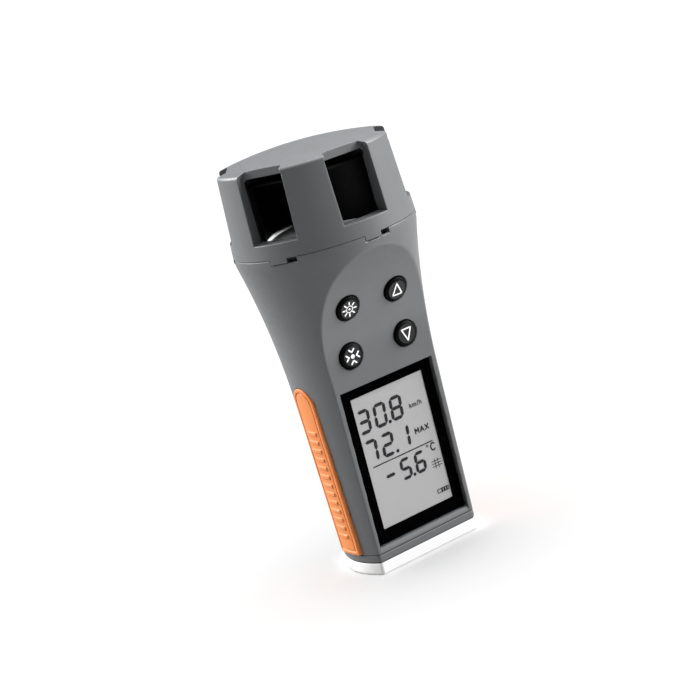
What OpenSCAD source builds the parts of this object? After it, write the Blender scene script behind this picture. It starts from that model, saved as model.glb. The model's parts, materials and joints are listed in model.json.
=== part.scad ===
// Pocket wind meter: a rotor turning on a vertical axis inside a windowed
// cage, on a round body with a flat, flared front that carries the display
// and four keys. Origin on the rotor axis at the foot, +Z up, front towards -Y.

/* [Body] */
// Radius of the body at the foot
body_r = 23.75; // [20:0.05:30]
// Radius gained by the straight part for each millimetre of height
body_taper = 0.0285; // [0:0.0005:0.05]
// Height at which the body starts to flare
flare_z = 62; // [45:1:80]
// How sharply the flare grows
flare_power = 2.15; // [1.5:0.05:3]
// Height of the crease under the head
crease_z = 115; // [100:0.5:140]
// Thickness of the moulded walls
wall = 2.2; // [1.6:0.1:3]

/* [Front face] */
// Distance from the axis to the face, carried down to the foot
face_y = 12.34; // [10:0.02:15]
// Lean of the straight part of the face, in degrees
face_lean = 2.33; // [0:0.01:6]
// Height at which the face starts to curve outwards
face_curve_z = 74; // [60:1:90]
// Radius of that curve
face_curve_r = 59; // [50:1:90]

/* [Foot] */
// Height of the pale foot cap
cap_h = 4.3; // [3:0.1:8]
// Thickness of the gasket between cap and ring
gasket_h = 0.4; // [0.3:0.05:1]
// Height of the grey ring above the gasket
ring_h = 2.45; // [2:0.05:5]
// Visible seam between ring and housing
seam = 0.25; // [0.1:0.05:0.5]
// Radius of the tripod thread's wall
thread_r = 2.55; // [2:0.05:4]
// Depth of the tripod thread
thread_depth = 8; // [5:0.5:10]

/* [Head] */
// Radius of the head at the crease
head_r = 32; // [28:0.25:38]
// Radius of the head at its top edge
head_top_r = 30.25; // [27:0.05:36]
// Height of the head from the crease to its top edge
head_h = 30; // [24:0.5:40]
// Rise of the domed top over its edge
dome_rise = 3.25; // [2:0.05:6]
// Thickness of the domed top
dome_t = 3; // [2:0.1:4]
// Gap between head and housing
head_gap = 0.3; // [0.2:0.05:0.5]
// Height of the parting line over the crease
parting_h = 1.5; // [1:0.1:3]
// Distance from the axis to the inner face of a window
window_y = 25.64; // [24:0.02:27]
// Width of a window
window_w = 16.8; // [12:0.1:20]
// Height of a window's sill over the crease
sill_h = 6.75; // [5:0.05:10]
// Radius of the space that the rotor turns in
chamber_r = 25.2; // [22:0.1:25.5]

/* [Rotor] */
// Gap between the rotor's vanes and the chamber's wall
rotor_gap = 0.9; // [0.6:0.1:2]
// Height of the vanes' top over the crease
rotor_top_h = 25.4; // [18:0.1:26]
// Gap between the vanes and the floor below
rotor_floor_gap = 0.9; // [0.6:0.1:2]
// Number of vanes
vanes = 6; // [3:1:8]
// Angle that a vane turns through from hub to tip
vane_sweep = 95; // [40:5:120]
// Thickness of a vane
vane_t = 1; // [0.8:0.1:2]
// Radius of the plate that joins the vanes' tops
top_plate_r = 22; // [10:0.5:23]
// Thickness of that plate
top_plate_t = 1; // [0.8:0.1:2]
// Radius of the hub
hub_r = 4.8; // [4:0.1:8]
// Radius of the shaft
shaft_r = 0.8; // [0.6:0.05:1.5]
// Radial running clearance in the jewel bearings
bearing_fit = 0.05; // [0.02:0.01:0.1]

/* [Display] */
// Width of the display window
window_glass_w = 37.9; // [30:0.1:39]
// Height of the window's lower edge
glass_low_z = 9.3; // [8.5:0.1:15]
// Height of the window's upper edge
glass_high_z = 66; // [55:0.5:68]
// Depth of the window below the face
glass_recess = 0.6; // [0.3:0.1:1]
// Thickness of the window
glass_t = 1.2; // [0.8:0.1:1.5]
// Width of the black border on each side of the display
mask_side = 4.125; // [3.5:0.005:8]
// Lower edge of the part that shows
lcd_low_z = 14.4; // [12:0.1:20]
// Upper edge of the part that shows
lcd_high_z = 62.2; // [50:0.1:64]

/* [Keys] */
// Radius of a key
key_r = 4.4; // [3.5:0.1:5]
// Gap around a key
key_gap = 0.3; // [0.2:0.05:0.5]
// How far a key stands out of the face
key_out = 1.2; // [0.6:0.1:2]
// Travel of a key
key_travel = 0.8; // [0.3:0.1:1]
// Height of the upper pair of keys
key_high_z = 93.85; // [88:0.25:100]
// Height of the lower pair of keys
key_low_z = 77.2; // [74:0.25:82]
// Half the distance between the upper keys
key_high_x = 9.7; // [7:0.1:12]
// Half the distance between the lower keys
key_low_x = 11.2; // [7:0.1:13]

/* [Side grips] */
// Half the width of a grip
grip_half_w = 6.2; // [4:0.1:8]
// Height of a grip's lower edge
grip_low_z = 7.7; // [7.5:0.1:15]
// Height of a grip's rounded top
grip_high_z = 69.5; // [50:0.5:75]
// How far a grip stands out at its top
grip_out = 0.45; // [0.2:0.05:1]
// How much further out it stands for each millimetre below its top
grip_spread = 0.009; // [0:0.001:0.02]
// How deep a grip is set into the housing
grip_set = 1.1; // [0.8:0.1:1.4]

/* [Batteries] */
// Radius of a cell
cell_r = 7.2; // [5:0.1:7.3]
// Length of a cell
cell_h = 50.2; // [44:0.1:51]
// Height of the cells' lower ends
cell_z = 13; // [12.5:0.5:16]

/* [Hidden] */
$fn = 96;
eps = 0.01;
far = 60;
piece_gap = 0.1;

// Colours
grey = [0.42, 0.44, 0.45];
black = [0.06, 0.06, 0.07];
orange = [0.95, 0.55, 0.2];
pale = [0.92, 0.92, 0.92];
steel = [0.75, 0.76, 0.78];
brass = [0.8, 0.66, 0.35];
board_green = [0.1, 0.35, 0.2];

// Foot
gasket_z = cap_h;
ring_z = gasket_z + gasket_h;
housing_z = ring_z + ring_h + seam;

// Body outline: radius at a height
flare_gain = head_r - body_r - body_taper * crease_z;
function flare(z) = z < flare_z ? 0
    : flare_gain * pow((z - flare_z) / (crease_z - flare_z), flare_power);
function body_radius(z) = body_r + body_taper * z + flare(z);
FLARE_STEPS = 14;
flare_zs = [for (i = [0:FLARE_STEPS]) flare_z + (crease_z - flare_z) * i / FLARE_STEPS];

// Front face: an arc about (arc_y, arc_z) that joins the straight part
arc_y = face_y + face_curve_z * tan(face_lean) + face_curve_r * cos(face_lean);
arc_z = face_curve_z - face_curve_r * sin(face_lean);
function face_angle(z) = z < face_curve_z ? face_lean : asin((z - arc_z) / face_curve_r);
function face_at(z) = z < face_curve_z ? face_y + z * tan(face_lean)
    : arc_y - face_curve_r * cos(face_angle(z));
ARC_STEPS = 18;
arc_end = 46.5;
function arc_points(depth, from, to) = [
    for (i = [0:ARC_STEPS]) let (a = from + (to - from) * i / ARC_STEPS)
        [-arc_y + (face_curve_r + depth) * cos(a), arc_z + (face_curve_r + depth) * sin(a)]];

// Head
parting_z = crease_z + parting_h;
rim_z = parting_z - head_gap / 2;
notch_z = crease_z - 0.1;
head_slope = (head_r - head_top_r) / head_h;
function head_radius(z) = head_r - (z - crease_z) * head_slope;
edge_z = crease_z + head_h;
edge_round = 0.8;
dome_r = (head_top_r * head_top_r + dome_rise * dome_rise) / (2 * dome_rise);
top_z = edge_z + dome_rise;
function dome_z(r) = top_z - dome_r + sqrt(dome_r * dome_r - r * r);
sill_z = crease_z + sill_h;
lintel_z = dome_z(window_y) - dome_t + 0.15;
lintel_round = 1.5;
windows = 6;
window_step = 360 / windows;

// Head seat in the housing's mouth
mouth_r = head_r - 2.6;
mouth_z = crease_z - 3.4;
shelf_r = mouth_r - 2.9;
shelf_t = 3.6;
flange_t = 1.4;
skirt_z = mouth_z + flange_t + 0.5;
skirt_r = mouth_r - head_gap;
plate_screw_r = 0.75;
plate_screw_h = 4;

// Latch pads: where a pad starts, where its slot starts and where the slot ends, in degrees
pad_from = -5.6;
slot_from = 5.8;
slot_to = 12.1;
pad_clear = 0.3;

// Floor under the rotor
floor_r = chamber_r - 0.7;
floor_rise = 3.4;
floor_top_z = crease_z + 6.4;
floor_ball_r = (floor_r * floor_r + floor_rise * floor_rise) / (2 * floor_rise);
function floor_z(r) = floor_top_z - floor_ball_r + sqrt(floor_ball_r * floor_ball_r - r * r);
floor_t = 1.6;
CURVE_STEPS = 12;
seal_section = 0.7;
seal_z = skirt_z + 1.4;

// Rotor
rotor_r = chamber_r - rotor_gap;
rotor_top_z = crease_z + rotor_top_h;
hub_z = floor_z(0) + 2.4;
hub_top_z = rotor_top_z + 0.4;
magnet_t = 1.4;
bearing_r = 2.2;
bore_r = shaft_r + bearing_fit;
lower_bearing_z = floor_z(0) - 3.4;
lower_bearing_top = floor_z(0) + 0.4;
upper_bearing_z = hub_top_z + 0.8;
upper_bearing_top = dome_z(0) - dome_t + 1.2;
bearing_floor = 1;
shaft_end_gap = 0.1;
tip_angle = -166.5;

// Display stack: depth of each piece's outer face below the front face
glass_gap = 0.15;
lcd_w = window_glass_w - 2 * mask_side;
mask_t = 0.2;
mask_d = glass_recess + glass_t;
lcd_d = mask_d + mask_t;
lcd_t = 1.6;
light_d = lcd_d + lcd_t;
light_t = 1.2;
holder_d = light_d + light_t;
holder_t = 1;
board_d = 9;
board_t = 1.6;
board_w = 32.4;
board_low_z = 13;
board_high_z = 105;
lcd_border = 1.6;
strip_w = lcd_w - 2.65;
strip_h = 1.2;
strip_zs = [lcd_low_z - 0.2, lcd_high_z + 0.2];
bevel_z = 7.9;

// On the main board
board_screw_x = 13.5;
board_screw_zs = [69.5, 102];
board_screw_r = 1;
board_screw_h = 3;
chip_w = 10;
chip_z = 74;
chip_t = 1.2;

// Ribbon from the main board up to the sensors under the rotor's floor
flex_w = 6;
flex_t = 0.4;
flex_foot_z = 98;
flex_bend_z = 106;
flex_top_z = lower_bearing_z - 1.6;
hall_w = 4;
hall_y = bearing_r + 1.4;

// Keys and what is behind them, as depths below the front face
flange_d = wall + 0.2;
key_flange_t = 0.8;
nub_d = flange_d + key_flange_t + 0.4;
mat_d = nub_d + key_travel + 0.2;
mat_t = 1;
dome_h = 0.5;
key_board_d = mat_d + mat_t + dome_h;
key_board_t = 1;
key_board_w = 31;
mat_low_z = key_low_z - 2.6;
mat_high_z = key_high_z + 2;

// Batteries
cell_x = cell_r + 1;
cell_y = 7;
bay_r = cell_r + 0.3;
holder_wall = 1.2;
cell_top = cell_z + cell_h;
spring_z = cell_z - 3.2;
spring_floor_z = spring_z - 0.4;

// Base
collar_h = 4;
base_screw_x = 16.5;
base_screw_y = -4.5;
base_screw_r = 1.1;
screw_column_r = 3.2;
insert_r = 5;

// A ring or disc about the axis, between two heights
module tube(r_out, r_in, z0, z1) {
    translate([0, 0, z0]) difference() {
        cylinder(r = r_out, h = z1 - z0);
        if (r_in > 0) translate([0, 0, -1]) cylinder(r = r_in, h = z1 - z0 + 2);
    }
}

// A flat wedge about the axis, from one angle to another, 0 pointing to the front
module wedge(a0, a1, z0, z1) {
    translate([0, 0, z0]) linear_extrude(z1 - z0)
        polygon([[0, 0], for (a = [a0, (a0 + a1) / 2, a1]) far * [sin(a), -cos(a)]]);
}

// An outline in the Y-Z plane, extruded along X about the middle
module across(width) {
    rotate([90, 0, 90]) translate([0, 0, -width / 2]) linear_extrude(width) children();
}

// Everything in front of the face moved inwards by a depth
module in_front(depth = 0) {
    arc = arc_points(depth, face_lean, arc_end);
    low_y = -face_at(0) + far * tan(face_lean) + depth / cos(face_lean);
    across(2 * far) polygon(concat([[-2 * far, -far], [low_y, -far]],
        arc, [[-2 * far, arc[ARC_STEPS][1]]]));
}

// A point in the Y-Z plane, at a depth behind the straight part of the face
function behind_face(z, depth) = [-face_at(z) + depth * cos(face_lean), z + depth * sin(face_lean)];

// Children placed on the face: X across, Y up the face, Z out of it
module on_face(x, z) {
    translate([x, -face_at(z), z]) rotate([90 + face_angle(z), 0, 0]) children();
}

// A plate behind the straight part of the face, between two heights and depths
module face_plate(half_w, z0, z1, d0, d1) {
    on_face(0, z0) translate([-half_w, 0, -d1])
        cube([2 * half_w, (z1 - z0) / cos(face_lean), d1 - d0]);
}

// A band that follows the curved part of the face, between two depths
module face_band(width, z0, z1, d0, d1) {
    across(width) polygon(concat(
        arc_points(d0, face_angle(z0), face_angle(z1)),
        arc_points(d1, face_angle(z1), face_angle(z0))));
}

// The body's round outline between two heights, moved inwards by a depth
module body_round(z0, z1, depth = 0) {
    zs = concat([z0], [for (z = flare_zs) if (z > z0 && z < z1) z], [z1]);
    rotate_extrude() polygon(concat([[0, z0]], [for (z = zs) [body_radius(z) - depth, z]], [[0, z1]]));
}

// The body's outline with its flat front, moved inwards by a depth
module body_form(z0, z1, depth = 0) {
    difference() {
        body_round(z0, z1, depth);
        in_front(depth);
    }
}

// The outline of a side grip, seen from the side, grown by a margin
module grip_outline(margin = 0) {
    half_w = grip_half_w + margin;
    shoulder_z = grip_high_z - grip_half_w;
    rotate([90, 0, 90]) linear_extrude(far) {
        translate([-half_w, grip_low_z - margin]) square([2 * half_w, shoulder_z - grip_low_z + margin]);
        translate([0, shoulder_z]) circle(half_w);
    }
}

// How far the grip's outer face is from the axis
function grip_radius(z) = body_radius(z) + grip_out + (grip_high_z - z) * grip_spread;

module housing() {
    color(grey) difference() {
        rotate_extrude() polygon(concat(
            [[0, housing_z], [body_radius(housing_z), housing_z]],
            [for (z = flare_zs) [body_radius(z), z]],
            [[head_radius(rim_z), rim_z], [0, rim_z]]));
        in_front();
        // inside of the body up to the shelf
        difference() {
            body_form(housing_z - 1, mouth_z - shelf_t, wall);
            board_screw_places() cylinder(r = 2.2, h = far, $fn = 32);
        }
        board_screw_places() translate([0, 0, -1])
            cylinder(r = board_screw_r + 0.05, h = board_screw_h + 1.2, $fn = 24);
        tube(shelf_r - 1.2, 0, mouth_z - shelf_t - 0.3, mouth_z + 1);
        tube(mouth_r, 0, mouth_z, far * 3);
        for (a = [0:window_step:359]) wedge(a + pad_from, a + slot_to, notch_z, notch_z + 10);
        display_cut();
        key_holes();
        for (side = [0, 180]) rotate([0, 0, side]) grip_recess(0);
        plate_screw_places() translate([0, 0, -plate_screw_h - 1])
            cylinder(r = plate_screw_r + 0.05, h = plate_screw_h + 2, $fn = 24);
    }
}

// Children placed where the main board is screwed to the housing, Z towards the front face
module board_screw_places() {
    for (x = [-1, 1], z = board_screw_zs)
        translate([x * board_screw_x, -face_y - z * tan(face_lean) + board_d / cos(face_lean), z])
            rotate([90 + face_lean, 0, 0]) children();
}

// Opening for the display, with a bevel under the window
module display_cut() {
    across(window_glass_w) polygon([[-far, bevel_z], behind_face(bevel_z, 0),
        behind_face(glass_low_z, glass_recess), behind_face(glass_low_z, wall + 1),
        behind_face(glass_high_z, wall + 1), behind_face(glass_high_z, -far)]);
}

module key_places() {
    for (x = [-1, 1]) {
        on_face(x * key_high_x, key_high_z) children();
        on_face(x * key_low_x, key_low_z) children();
    }
}

module key_holes() {
    key_places() translate([0, 0, -wall - 3]) cylinder(r = key_r + key_gap, h = wall + 6);
}

module grip_recess(margin) {
    intersection() {
        difference() {
            body_round(0, crease_z, -3);
            body_round(-1, crease_z + 1, grip_set);
        }
        grip_outline(margin + piece_gap);
    }
}

module grip() {
    zs = concat([grip_low_z - 1], [for (z = flare_zs) if (z < grip_high_z + 1) z], [grip_high_z + 1]);
    color(orange) intersection() {
        difference() {
            rotate_extrude() polygon(concat([[0, zs[0]]],
                [for (z = zs) [grip_radius(z), z]], [[0, zs[len(zs) - 1]]]));
            body_round(-1, crease_z + 1, grip_set - piece_gap / 2);
        }
        grip_outline();
    }
}
module right_grip() { grip(); }
module left_grip() { rotate([0, 0, 180]) grip(); }

module head_cage() {
    edge_steps = 5;
    edge_r = head_radius(edge_z) - edge_round;
    cage_z = parting_z + head_gap / 2;
    color(grey) difference() {
        union() {
            // outer form
            rotate_extrude() polygon(concat(
                [[0, cage_z], [head_radius(cage_z), cage_z]],
                [for (i = [0:edge_steps]) let (a = 90 * i / edge_steps)
                    [edge_r + edge_round * cos(a), dome_z(edge_r) - edge_round + edge_round * sin(a)]],
                [for (i = [1:CURVE_STEPS]) let (r = edge_r * (1 - i / CURVE_STEPS)) [r, dome_z(r)]]));
            // skirt that drops into the housing
            tube(skirt_r, 0, skirt_z, cage_z + 1);
            // latch pads in the housing's rim
            intersection() {
                tube(head_r, 0, crease_z + head_gap / 2, cage_z + eps);
                rotate_extrude() polygon([[0, crease_z], [head_r, crease_z],
                    [head_radius(cage_z + 1), cage_z + 1], [0, cage_z + 1]]);
                for (a = [0:window_step:359])
                    wedge(a + pad_from + pad_clear, a + slot_from, crease_z, cage_z + 1);
            }
        }
        // rotor chamber with a domed ceiling and a boss for the bearing
        difference() {
            rotate_extrude() polygon(concat([[0, skirt_z - 1], [chamber_r, skirt_z - 1]],
                [for (i = [0:CURVE_STEPS]) let (r = chamber_r * (1 - i / CURVE_STEPS))
                    [r, dome_z(r) - dome_t]]));
            tube(bearing_r + 2, 0, upper_bearing_z, top_z);
        }
        tube(bearing_r, 0, upper_bearing_z - 1, upper_bearing_top);
        for (a = [0:window_step:359]) rotate([0, 0, a]) window_cut();
    }
}

// A window, with the pocket in front of it that notches the head's top edge
module window_cut() {
    half_w = window_w / 2;
    high = lintel_z - sill_z;
    translate([-half_w, -far, sill_z]) cube([window_w, far - window_y, far]);
    // opening into the chamber, with rounded upper corners
    translate([0, 0, sill_z]) rotate([90, 0, 0]) linear_extrude(window_y + 1) {
        translate([-half_w, 0]) square([window_w, high - lintel_round]);
        translate([lintel_round - half_w, 0]) square([window_w - 2 * lintel_round, high]);
        for (x = [-1, 1])
            translate([x * (half_w - lintel_round), high - lintel_round])
                circle(lintel_round, $fn = 32);
    }
}

module upper_bearing() {
    color("firebrick") difference() {
        tube(bearing_r, 0, upper_bearing_z, upper_bearing_top);
        tube(bore_r, 0, upper_bearing_z - 1, upper_bearing_top - bearing_floor);
    }
}

module rotor() {
    color(black) difference() {
        union() {
            tube(hub_r, 0, hub_z, hub_top_z);
            tube(top_plate_r, 0, rotor_top_z - top_plate_t, rotor_top_z);
            intersection() {
                rotate_extrude() polygon(concat(
                    [for (i = [0:CURVE_STEPS]) let (r = rotor_r * i / CURVE_STEPS)
                        [r, floor_z(r) + rotor_floor_gap]],
                    [[rotor_r, rotor_top_z], [0, rotor_top_z]]));
                for (i = [0:vanes - 1]) rotate([0, 0, tip_angle + i * 360 / vanes]) vane();
            }
        }
        // room for the lower bearing, the magnet and the shaft
        tube(hub_r - 0.8, 0, floor_z(0) - 1, hub_z + magnet_t);
        tube(shaft_r, 0, hub_z, hub_top_z + 1);
    }
}

// One curved vane, from the hub out to its tip
module vane() {
    steps = 14;
    hub_in = hub_r - 0.6;
    reach = rotor_r + 1 - hub_in;
    // a point beside the middle line, which turns evenly as it goes out
    function at(i, side) = let (s = i / steps, r = hub_in + reach * s, a = -vane_sweep * (1 - s),
        turn = vane_sweep * PI / 180 * r,
        away = [reach * sin(a) + turn * cos(a), turn * sin(a) - reach * cos(a)])
        r * [cos(a), sin(a)] + side * vane_t / 2 * away / norm(away);
    translate([0, 0, floor_z(rotor_r) - 1]) linear_extrude(rotor_top_z - floor_z(rotor_r) + 2)
        polygon(concat([for (i = [0:steps]) at(i, 1)], [for (i = [steps:-1:0]) at(i, -1)]));
}

module rotor_shaft() {
    color(steel) tube(shaft_r, 0, lower_bearing_z + bearing_floor + shaft_end_gap,
        upper_bearing_top - bearing_floor - 0.4);
}

module rotor_magnet() {
    color("dimgray") tube(hub_r - 0.8, shaft_r + 0.1, hub_z, hub_z + magnet_t);
}

module floor_plate() {
    plug_in = floor_r - 1.8;
    color("silver") difference() {
        union() {
            tube(mouth_r - head_gap, 0, mouth_z, mouth_z + flange_t);
            rotate_extrude() polygon(concat([[0, mouth_z], [floor_r, mouth_z]],
                [for (i = [0:CURVE_STEPS]) let (r = floor_r * (1 - i / CURVE_STEPS)) [r, floor_z(r)]]));
        }
        // hollow underside with a boss for the bearing
        difference() {
            rotate_extrude() polygon(concat([[0, mouth_z - 1], [plug_in, mouth_z - 1]],
                [for (i = [0:CURVE_STEPS]) let (r = plug_in * (1 - i / CURVE_STEPS))
                    [r, floor_z(r) - floor_t]]));
            tube(bearing_r + 1.2, 0, lower_bearing_z - 1, top_z);
        }
        tube(bearing_r, 0, lower_bearing_z, top_z);
        seal_groove();
        plate_screw_places() translate([0, 0, -1]) cylinder(r = 1.1, h = 6, $fn = 24);
    }
}

// Groove around the plug for the sealing ring
module seal_groove() {
    tube(floor_r + 1, floor_r - seal_section - 0.05, seal_z - seal_section, seal_z + seal_section);
}
module head_seal() {
    color(black) rotate_extrude() translate([chamber_r - seal_section - 0.05, seal_z])
        circle(seal_section - 0.02, $fn = 32);
}

module plate_screw_places() {
    for (a = [30, 150, 270]) rotate([0, 0, a]) translate([0, -shelf_r, mouth_z]) children();
}
module plate_screws() {
    color(steel) plate_screw_places() {
        translate([0, 0, -plate_screw_h])
            cylinder(r = plate_screw_r, h = plate_screw_h + flange_t, $fn = 24);
        translate([0, 0, flange_t]) cylinder(r = 1.3, h = 0.35, $fn = 32);
    }
}

module lower_bearing() {
    color("firebrick") difference() {
        tube(bearing_r, 0, lower_bearing_z, lower_bearing_top);
        tube(bore_r, 0, lower_bearing_z + bearing_floor, top_z);
    }
}

module display_window() {
    color([0.2, 0.2, 0.22, 0.5]) face_plate(window_glass_w / 2 - glass_gap, glass_low_z + glass_gap,
        glass_high_z - glass_gap, glass_recess, glass_recess + glass_t);
}
module display_mask() {
    color(black) difference() {
        face_plate(window_glass_w / 2 - 0.3, glass_low_z + 0.3, glass_high_z - 0.3,
            mask_d, mask_d + mask_t);
        face_plate(lcd_w / 2, lcd_low_z, lcd_high_z, mask_d - 1, mask_d + 1);
    }
}
module lcd_glass() {
    color([0.74, 0.74, 0.73]) face_plate(lcd_w / 2 + lcd_border, lcd_low_z - lcd_border,
        lcd_high_z + lcd_border, lcd_d, lcd_d + lcd_t);
}
module backlight() {
    color("white") face_plate(lcd_w / 2 + 0.4, lcd_low_z + 1, lcd_high_z - 1,
        light_d, light_d + light_t);
}
module lcd_holder() {
    half_w = lcd_w / 2 + lcd_border;
    low_z = lcd_low_z - lcd_border;
    high_z = lcd_high_z + lcd_border;
    strip_half = strip_h / 2 + 0.1;
    color([0.85, 0.85, 0.83]) difference() {
        face_plate(half_w + 1, low_z - 1, high_z + 1, lcd_d, holder_d + holder_t);
        // room for the glass, the backlight and the contact strips
        face_plate(half_w + 0.05, low_z - 0.05, high_z + 0.05, lcd_d - 1, lcd_d + lcd_t);
        face_plate(lcd_w / 2 + 0.5, lcd_low_z + 0.9, lcd_high_z - 0.9, lcd_d, light_d + light_t);
        for (z = strip_zs) face_plate(strip_w / 2 + 0.1, z - strip_half, z + strip_half, lcd_d, far);
    }
}
module contact_strips() {
    color("dimgray") for (z = strip_zs)
        face_plate(strip_w / 2, z - strip_h / 2, z + strip_h / 2, light_d, board_d);
}
module main_board() {
    color(board_green) difference() {
        face_plate(board_w / 2, board_low_z, board_high_z, board_d, board_d + board_t);
        board_screw_places() translate([0, 0, -2 * board_t])
            cylinder(r = board_screw_r + 0.1, h = 4 * board_t, $fn = 24);
    }
}
module processor() {
    color(black) face_plate(chip_w / 2, chip_z, chip_z + chip_w,
        board_d + board_t, board_d + board_t + chip_t);
}
module board_screws() {
    head_t = 0.6;
    color(steel) board_screw_places() {
        translate([0, 0, -board_t - head_t]) cylinder(r = 1.9, h = head_t, $fn = 32);
        translate([0, 0, -board_t])
            cylinder(r = board_screw_r, h = board_t + board_screw_h, $fn = 24);
    }
}

module sensor_flex() {
    foot_y = -face_y - flex_foot_z * tan(face_lean) + board_d + board_t + 0.2;
    end_y = hall_y + 3;
    low_z = flex_top_z - flex_t;
    color("darkorange") across(flex_w) polygon([
        [foot_y, flex_foot_z], [foot_y + flex_t, flex_foot_z], [foot_y + flex_t, flex_bend_z],
        [1 + flex_t, low_z], [end_y, low_z], [end_y, flex_top_z], [1, flex_top_z],
        [foot_y, flex_bend_z]]);
}
module hall_sensor() {
    color(black) translate([-hall_w / 2, hall_y, flex_top_z]) cube([hall_w, 2.5, 1.4]);
}
module temperature_sensor() {
    color("sienna") translate([0, -floor_r + 4.2, mouth_z + 2.5]) {
        sphere(r = 1.1, $fn = 32);
        translate([0, 0, -4]) cylinder(r = 0.5, h = 4, $fn = 24);
    }
}

module key(x, z) {
    top_r = key_r * 0.8;
    nub_r = 1.5;
    flange_r = key_r + 0.9;
    flange_end = -flange_d - key_flange_t;
    color(black) on_face(x, z) rotate_extrude() polygon([
        [0, -nub_d], [nub_r, -nub_d], [nub_r, flange_end], [flange_r, flange_end],
        [flange_r, -flange_d], [key_r, -flange_d], [key_r, key_out * 0.45],
        [key_r - 0.2, key_out * 0.7], [top_r, key_out], [0, key_out]]);
}
module light_key() { key(-key_high_x, key_high_z); }
module up_key() { key(key_high_x, key_high_z); }
module chill_key() { key(-key_low_x, key_low_z); }
module down_key() { key(key_low_x, key_low_z); }

module keypad_mat() {
    color("dimgray") face_band(key_board_w, mat_low_z, mat_high_z, mat_d, mat_d + mat_t);
}
module key_board() {
    color(board_green) face_band(key_board_w, mat_low_z, mat_high_z,
        key_board_d, key_board_d + key_board_t);
}
module switch_domes() {
    color(steel) key_places() translate([0, 0, 0.06 - key_board_d])
        cylinder(r = 2.2, h = dome_h - 0.15, $fn = 32);
}

module cell_places() {
    for (x = [-1, 1]) translate([x * cell_x, cell_y, 0]) children();
}
module batteries() {
    color("steelblue") cell_places() {
        translate([0, 0, cell_z]) cylinder(r = cell_r, h = cell_h - 1);
        translate([0, 0, cell_top - 1 - eps]) cylinder(r = 2.7, h = 1, $fn = 32);
    }
}
module battery_holder() {
    color([0.2, 0.2, 0.21]) difference() {
        cell_places() tube(bay_r + holder_wall, 0, cell_z - 3, cell_top + 2.4);
        cell_places() tube(bay_r, 0, cell_z - 4, cell_top + 0.6);
        cell_places() tube(3.5, 0, cell_z, cell_top + 9);
        battery_plate_form(piece_gap);
    }
}
module battery_springs() {
    coils = 3;
    wire_r = 0.45;
    color(steel) cell_places() {
        translate([0, 0, spring_floor_z]) cylinder(r = 4.2, h = spring_z - spring_floor_z, $fn = 48);
        for (i = [0:coils - 1]) translate([0, 0, spring_z + wire_r + i * 0.95])
            rotate_extrude() translate([4 - 0.7 * i, 0]) circle(wire_r, $fn = 24);
    }
}
// Contact plate across the tops of both cells, grown by a margin
module battery_plate_form(margin = 0) {
    half = [cell_x + 3, 3, 0.15] + margin * [1, 1, 1];
    translate([0, cell_y, cell_top + 0.25] - half) cube(2 * half);
}
module battery_plate() {
    color(steel) battery_plate_form();
}

// Frame that closes the housing from below; its collar stands inside the housing
module base_ring() {
    color(grey) difference() {
        union() {
            body_form(ring_z, ring_z + ring_h);
            body_form(ring_z + ring_h - eps, housing_z + collar_h, wall + 0.1);
        }
        difference() {
            body_form(ring_z - 1, housing_z + collar_h + 1, 2 * wall);
            base_screw_places() tube(screw_column_r, 0, ring_z, housing_z + collar_h);
            // bar under the springs
            difference() {
                translate([-far, cell_y - 8, spring_floor_z - 1]) cube([2 * far, 13, 1]);
                tube(insert_r + 0.5, 0, 0, far);
            }
        }
        base_screw_places() tube(base_screw_r + 0.05, 0, 0, ring_z + 6);
    }
}

module base_screw_places() {
    for (x = [-1, 1]) translate([x * base_screw_x, base_screw_y, 0]) children();
}
module base_gasket() {
    color(black) difference() {
        body_form(gasket_z, ring_z, 0.35);
        body_form(gasket_z - 1, ring_z + 1, wall);
    }
}
module base_cap() {
    floor_h = 2;
    color(pale) difference() {
        body_form(0, cap_h);
        difference() {
            body_form(floor_h, cap_h + 1, wall);
            base_screw_places() tube(screw_column_r, 0, 0, cap_h);
            tube(insert_r + 1.5, 0, 0, cap_h);
        }
        tube(insert_r + 0.02, 0, -1, far);
        base_screw_places() {
            tube(base_screw_r + 0.3, 0, -1, far);
            tube(2.5, 0, -1, 1.6);
        }
    }
}
module tripod_insert() {
    color(brass) difference() {
        tube(insert_r, 0, 0, thread_depth + 1);
        tube(thread_r, 0, -1, thread_depth);
    }
}
module base_screws() {
    color(steel) base_screw_places() {
        tube(2.3, 0, 0.5, 1.6);
        tube(base_screw_r, 0, 1.5, ring_z + 5);
    }
}

head_cage();
upper_bearing();
rotor();
rotor_shaft();
rotor_magnet();
floor_plate();
lower_bearing();
head_seal();
plate_screws();
housing();
display_window();
display_mask();
lcd_glass();
backlight();
lcd_holder();
contact_strips();
main_board();
processor();
sensor_flex();
hall_sensor();
temperature_sensor();
light_key();
up_key();
chill_key();
down_key();
keypad_mat();
switch_domes();
key_board();
board_screws();
battery_holder();
batteries();
battery_springs();
battery_plate();
base_ring();
base_gasket();
base_cap();
base_screws();
tripod_insert();
left_grip();
right_grip();
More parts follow.
